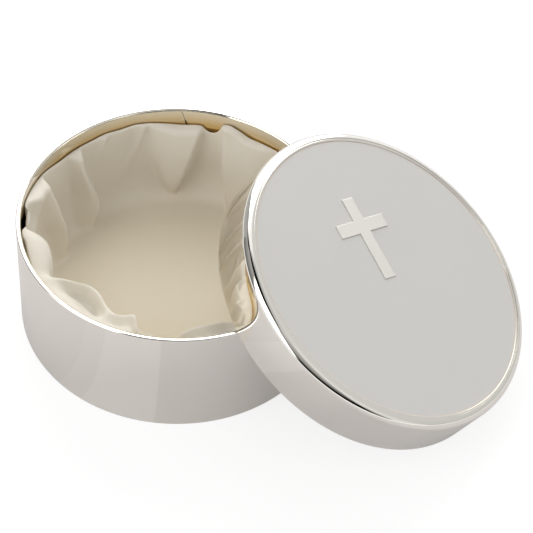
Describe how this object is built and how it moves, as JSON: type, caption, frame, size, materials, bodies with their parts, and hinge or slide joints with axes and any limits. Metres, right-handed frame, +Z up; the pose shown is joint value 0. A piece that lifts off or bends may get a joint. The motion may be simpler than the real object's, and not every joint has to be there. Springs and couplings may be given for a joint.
{
  "type": "round rosary box",
  "caption": "Round plated-metal keepsake box for a rosary, satin-lined, its slip-on lid with an enamel top and a plain cross leaning on the rim.",
  "frame": {"origin": "centre of the base's flat underside", "axes": "+Z up along the base's axis; +X the way the lid leans out from the base, with the part's main forms mirrored across the XZ plane"},
  "size_m": [0.1296, 0.0812, 0.0504],
  "materials": {
    "silver_plate": "brass sheet, silver plated and buffed to a mirror",
    "cross_metal": "silver plated, faintly satin on top",
    "enamel": "poured cold enamel, pearly pale grey, smooth gloss",
    "satin": "ivory satin, soft sheen",
    "wadding": "loose polyester wadding"
  },
  "bodies": {
    "base": {"base_wall": "silver_plate", "base_plate": "silver_plate", "floor_wadding": "wadding", "lining": "satin"},
    "lid": {"lid_shell": "silver_plate", "bezel_ring": "silver_plate", "enamel_panel": "enamel", "lid_cross": "cross_metal"}
  },
  "joints": [
    {"name": "lid_lift", "type": "slide", "parent": "base", "child": "lid", "axis": [0, 0, 1], "range_m": [0, 0.08]}
  ]
}
